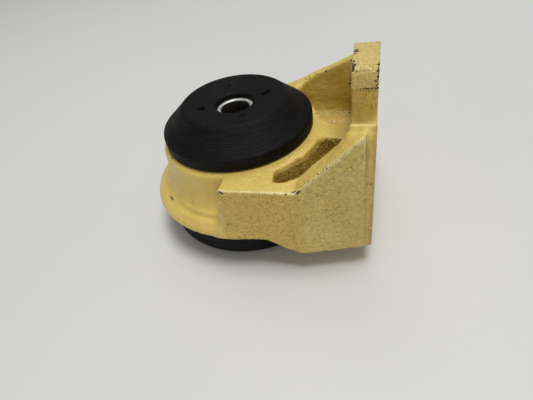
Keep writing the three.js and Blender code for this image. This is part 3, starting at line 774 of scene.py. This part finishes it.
def paint_material():
    k = Nodes("paint_cream")
    base = k.ramp(k.noise(38, 3, 0.55), [(0.30, col(221, 191, 95)), (0.52, col(228, 200, 105)), (0.75, col(233, 208, 119))])
    fine = k.noise(900, 2, 0.5)
    base = k.mix(k.span(fine, 0.35, 0.75, 0.0, 0.22), base, col(180, 150, 84))
    # outer edges painted lighter in places: a painted highlight along the convex edges, and whitish patches that are
    # partly worn paint and partly painted highlight
    base = k.mix(k.math("MULTIPLY", k.attr("edge"), 0.20, True), base, col(242, 226, 172))
    wear_and_highlight = k.math("ADD", k.attr("edge"), k.span(k.noise(520, 4, 0.65), 0.3, 0.7, -1.05, 0.10))
    wear_and_highlight = k.span(wear_and_highlight, 0.28, 0.45, 0.0, 0.4)
    base = k.mix(wear_and_highlight, base, col(247, 236, 196))
    # painted warm bounce light on the left part of the long flank
    base = k.mix(k.math("MULTIPLY", k.attr("painted_warm_bounce"), 0.7, True), base, col(225, 189, 99))
    # drier, dustier film on the lug and the long flank
    base = k.mix(k.math("MULTIPLY", k.attr("dust"), k.span(k.noise(70, 3, 0.6), 0.3, 0.7, 0.6, 1.0), True), base, col(220, 204, 158))
    # painted shade in the concave corners, mixed with dust and grime
    grime_and_corner_shade = k.math("MULTIPLY", k.attr("cavity"), k.span(k.noise(120, 4, 0.6), 0.3, 0.7, 0.2, 1.0), True)
    base = k.mix(k.math("MULTIPLY", grime_and_corner_shade, 0.75, True), base, col(150, 120, 58))
    # recess floors tinted darker and more saturated
    base = k.mix(k.math("MULTIPLY", k.attr("pocket"), 0.45, True), base, col(176, 146, 50))
    # painted glints on the sand-cast grain of the near recess
    painted_grain_glint = k.math("MULTIPLY", k.span(k.noise(950, 2, 0.6), 0.54, 0.62, 0.0, 0.6), k.attr("near_pocket"), True)
    base = k.mix(painted_grain_glint, base, col(238, 222, 142))
    # painted shade in the pits of that grain
    painted_pit_shade = k.math("MULTIPLY", k.span(k.noise(700, 2, 0.6), 0.50, 0.40, 0.0, 0.6), k.attr("near_pocket"), True)
    base = k.mix(painted_pit_shade, base, col(116, 94, 34))
    # brownish tint on the back edge of the flange
    base = k.mix(k.math("MULTIPLY", k.attr("brown_tint"), k.span(k.noise(110, 3, 0.6), 0.3, 0.7, 0.35, 0.8), True), base, col(176, 136, 74))
    # small dark specks where the casting's pores show through
    speck = k.span(k.noise(430, 1.5, 0.4, dist=0.4), 0.69, 0.73, 0.0, 1.0)
    speck = k.math("MULTIPLY", speck, k.span(k.noise(60, 2, 0.5), 0.40, 0.55, 0.1, 1.0), True)
    speck = k.math("MULTIPLY", speck, k.span(k.attr("cast"), 0, 1, 0.15, 1.0), True)
    base = k.mix(k.math("MULTIPLY", speck, 0.75, True), base, col(112, 86, 44))
    # painted shade: thin dark lines painted as the creases in the skin of the cast sides
    painted_crease_shade = k.math("ABSOLUTE", k.math("SUBTRACT", k.noise(210, 3, 0.55, dist=1.0), 0.5))
    painted_crease_shade = k.math("MULTIPLY", k.span(painted_crease_shade, 0.0, 0.022, 0.5, 0.0), k.attr("cast"), True)
    painted_crease_shade = k.math("MULTIPLY", painted_crease_shade, k.span(k.noise(90, 2, 0.5), 0.45, 0.6, 0.0, 1.0), True)
    base = k.mix(painted_crease_shade, base, col(140, 112, 62))
    # edge wear and chips down to dark iron
    ragged = k.noise(620, 4, 0.6)
    chip = k.math("ADD", k.attr("chip"), k.span(ragged, 0.25, 0.75, -0.42, 0.42))
    chip = k.span(chip, 0.56, 0.64, 0.0, 1.0)
    rim = k.math("ADD", k.attr("chip"), k.span(ragged, 0.25, 0.75, -0.36, 0.36))
    rim = k.span(rim, 0.40, 0.55, 0.0, 0.6)
    base = k.mix(rim, base, col(205, 186, 132))
    iron = k.ramp(k.noise(700, 3, 0.6), [(0.3, col(46, 38, 34)), (0.6, col(74, 63, 56)), (0.8, col(112, 98, 84))])
    base = k.mix(chip, base, iron)
    rough = k.span(k.noise(150, 3, 0.6), 0.3, 0.7, 0.27, 0.40)
    rough = k.math("ADD", rough, k.math("MULTIPLY", chip, 0.2))
    cast = k.attr("cast")
    grain = k.noise(1500, 3, 0.6)
    mid = k.noise(430, 3, 0.6, dist=0.8)
    nrm = k.bump(k.math("MULTIPLY", mid, k.span(cast, 0, 1, 0.25, 1.0)), 0.9, 0.0026)
    nrm = k.bump(grain, 0.3, 0.00014, nrm)
    pit = k.span(k.noise(300, 2, 0.5, dist=1.2), 0.62, 0.72, 0.0, 1.0)
    pit = k.math("MULTIPLY", pit, k.span(cast, 0, 1, 0.1, 1.0))
    nrm = k.bump(k.math("MULTIPLY", pit, -1.0), 0.5, 0.0004, nrm)
    k.set(Base_Color=base, Roughness=rough, Normal=nrm)
    return k.m


def cylinder_coords(k):
    """(angle, radius, height, x, y) about the isolator axis"""
    sep = k.n("ShaderNodeSeparateXYZ")
    k.link(k.coords(), sep.inputs[0])
    x = k.math("SUBTRACT", sep.outputs[0], OX / 1000)
    y = k.math("SUBTRACT", sep.outputs[1], OY / 1000)
    r = k.math("SQRT", k.math("ADD", k.math("MULTIPLY", x, x), k.math("MULTIPLY", y, y)))
    a = k.math("ARCTAN2", y, x)
    return a, r, sep.outputs[2], x, y


def ring_vector(k, around, across):
    """texture vector that runs slowly round the axis and quickly across it"""
    a, r, z, x, y = cylinder_coords(k)
    ca = k.math("MULTIPLY", k.math("COSINE", a), around)
    sa = k.math("MULTIPLY", k.math("SINE", a), around)
    q = k.math("MULTIPLY", k.math("SUBTRACT", z, r), across)
    c = k.n("ShaderNodeCombineXYZ")
    k.link(ca, c.inputs[0])
    k.link(sa, c.inputs[1])
    k.link(q, c.inputs[2])
    return c.outputs[0], r, z


def rubber_material():
    k = Nodes("rubber_black")
    vec, r, z = ring_vector(k, 2.2, 1500)
    scratch = k.noise(1.0, 5, 0.65, vec)
    vec2, _, _ = ring_vector(k, 9.0, 520)
    scratch2 = k.noise(1.0, 3, 0.6, vec2)
    cloud = k.noise(45, 4, 0.6)
    base = k.ramp(cloud, [(0.3, col(8, 8, 9)), (0.7, col(13, 13, 14))])
    cone = k.span(r, 0.0295, 0.0325, 0.22, 1.0)
    streak = k.math("MULTIPLY", k.span(scratch, 0.52, 0.78, 0.0, 0.62), cone)
    base = k.mix(streak, base, col(52, 52, 52))
    speck = k.span(k.noise(750, 1, 0.4), 0.80, 0.83, 0.0, 1.0)
    base = k.mix(k.math("MULTIPLY", speck, 0.5), base, col(150, 146, 136))
    rough = k.span(cloud, 0.3, 0.7, 0.52, 0.68)
    rough = k.math("ADD", rough, k.span(scratch2, 0.4, 0.7, -0.05, 0.08))
    nrm = k.bump(k.math("MULTIPLY", scratch, cone), 0.8, 0.00028)
    nrm = k.bump(k.math("MULTIPLY", scratch2, cone), 0.5, 0.0004, nrm)
    nrm = k.bump(k.noise(1200, 3, 0.5), 0.25, 0.0001, nrm)
    k.set(Base_Color=base, Roughness=rough, Normal=nrm)
    k.p.inputs["Specular IOR Level"].default_value = 0.13
    return k.m


def steel_material(name, light, dark, rough0, rough1, scale):
    k = Nodes(name)
    vec, r, z = ring_vector(k, 3.0, scale)
    lines = k.noise(1.0, 4, 0.7, vec)
    cloud = k.noise(220, 4, 0.6)
    base = k.ramp(lines, [(0.3, dark), (0.7, light)])
    # brown stains on the steel
    brown_tint = k.span(cloud, 0.58, 0.74, 0.0, 0.5)
    base = k.mix(brown_tint, base, col(112, 98, 82))
    # the bore is coloured near-black
    base = k.mix(k.span(r, 0.0086, 0.0089, 0.93, 0.0), base, col(40, 35, 28))
    rough = k.span(lines, 0.3, 0.7, rough0, rough1)
    nrm = k.bump(lines, 0.35, 0.00006)
    nrm = k.bump(cloud, 0.15, 0.0001, nrm)
    k.set(Base_Color=base, Roughness=rough, Normal=nrm)
    k.p.inputs["Metallic"].default_value = 0.75
    return k.m


PAINT = paint_material()
RUBBER = rubber_material()
TURNED = steel_material("steel_turned", col(230, 229, 225), col(190, 187, 181), 0.40, 0.56, 2600)
PRESSED = steel_material("steel_pressed", col(150, 150, 152), col(112, 112, 114), 0.42, 0.6, 900)

for ob, mat, node, body, slot in (
        (bracket, PAINT, "bracket_casting", "bracket", "painted_casting"),
        (upper, RUBBER, "upper_cushion", None, "moulded_rubber"),
        (lower, RUBBER, "lower_cushion", None, "moulded_rubber"),
        (sleeve, TURNED, "inner_sleeve", "core", "machined_steel"),
        (plate_up, PRESSED, "upper_load_plate", "core", "plate_steel"),
        (plate_low, PRESSED, "lower_load_plate", "core", "plate_steel"),
        (seat_up, PRESSED, "upper_seat_ring", "bracket", "plate_steel"),
        (seat_low, PRESSED, "lower_seat_ring", "bracket", "plate_steel")):
    ob.data.materials.append(mat)
    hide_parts(node)
    if body:
        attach(ob, body)


def at(x, y, z):
    return tuple(float(c) for c in place((x, y, z)))


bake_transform(upper)
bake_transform(lower)

# ---------------------------------------------------------------- floor, light, camera
floor_z = (OZ + REST_Z) / 1000
S = 3.0
floor = mesh_object("floor", [(-S, -S, floor_z), (S, -S, floor_z), (S, S, floor_z), (-S, S, floor_z)], [(0, 1, 2, 3)], smooth=False)
kf = Nodes("floor_pale")
fl_col = kf.ramp(kf.noise(2.0, 2, 0.5), [(0.3, col(219, 219, 216)), (0.7, col(222, 222, 219))])
kf.set(Base_Color=fl_col, Roughness=kf.span(kf.noise(3.0, 2, 0.5), 0.3, 0.7, 0.55, 0.65))
floor.data.materials.append(kf.m)

world = bpy.data.worlds.new("studio")
world.use_nodes = True
world.node_tree.nodes["Background"].inputs[0].default_value = (1.0, 1.0, 1.0, 1.0)
world.node_tree.nodes["Background"].inputs[1].default_value = 0.235
bpy.context.scene.world = world


def area(name, pos, target, size, power, colour=(1, 1, 1)):
    d = bpy.data.lights.new(name, "AREA")
    d.shape, d.size, d.energy, d.color = "SQUARE", size, power, colour
    o = bpy.data.objects.new(name, d)
    bpy.context.scene.collection.objects.link(o)
    o.location = pos
    o.rotation_euler = (Vector(target) - Vector(pos)).to_track_quat("-Z", "Y").to_euler()
    return o


C0 = at(0, 0, -10)
area("key", (C0[0] + 0.34, C0[1] - 0.04, C0[2] + 2.0), C0, 0.85, 25.0)
area("back", (C0[0] - 0.2, C0[1] + 1.0, C0[2] + 1.7), C0, 0.9, 4.2)
area("fill_right", (C0[0] + 0.9, C0[1] - 1.9, C0[2] + 0.8), C0, 1.2, 5.6, (1.0, 0.955, 0.90))
area("fill_left", (C0[0] - 1.6, C0[1] - 1.4, C0[2] + 0.7), C0, 1.2, 3.6, (1.0, 0.955, 0.90))

cam_d = bpy.data.cameras.new("camera")
cam = bpy.data.objects.new("camera", cam_d)
bpy.context.scene.collection.objects.link(cam)
cam_d.sensor_width = 36.0
cam_d.sensor_fit = "HORIZONTAL"
cam_d.lens = 36.0 * 393.01 / 533.0
cam_d.clip_start, cam_d.clip_end = 0.005, 20
right = Vector((0.9662, 0.2136, -0.1445))
up = Vector((-0.0417, 0.6821, 0.7300))
fwd = Vector((-0.2545, 0.6993, -0.6680)).normalized()
right = (right - fwd * right.dot(fwd)).normalized()
up = right.cross(fwd).normalized()
M = Matrix((
    (right.x, up.x, -fwd.x, 0), (right.y, up.y, -fwd.y, 0), (right.z, up.z, -fwd.z, 0), (0, 0, 0, 1)))
M.translation = Vector(at(79.6, -196.6, 126.7))
cam.matrix_world = M
bpy.context.scene.camera = cam
bpy.context.scene.view_settings.view_transform = "Standard"
bpy.context.scene.view_settings.look = "None"

bpy.context.view_layer.update()
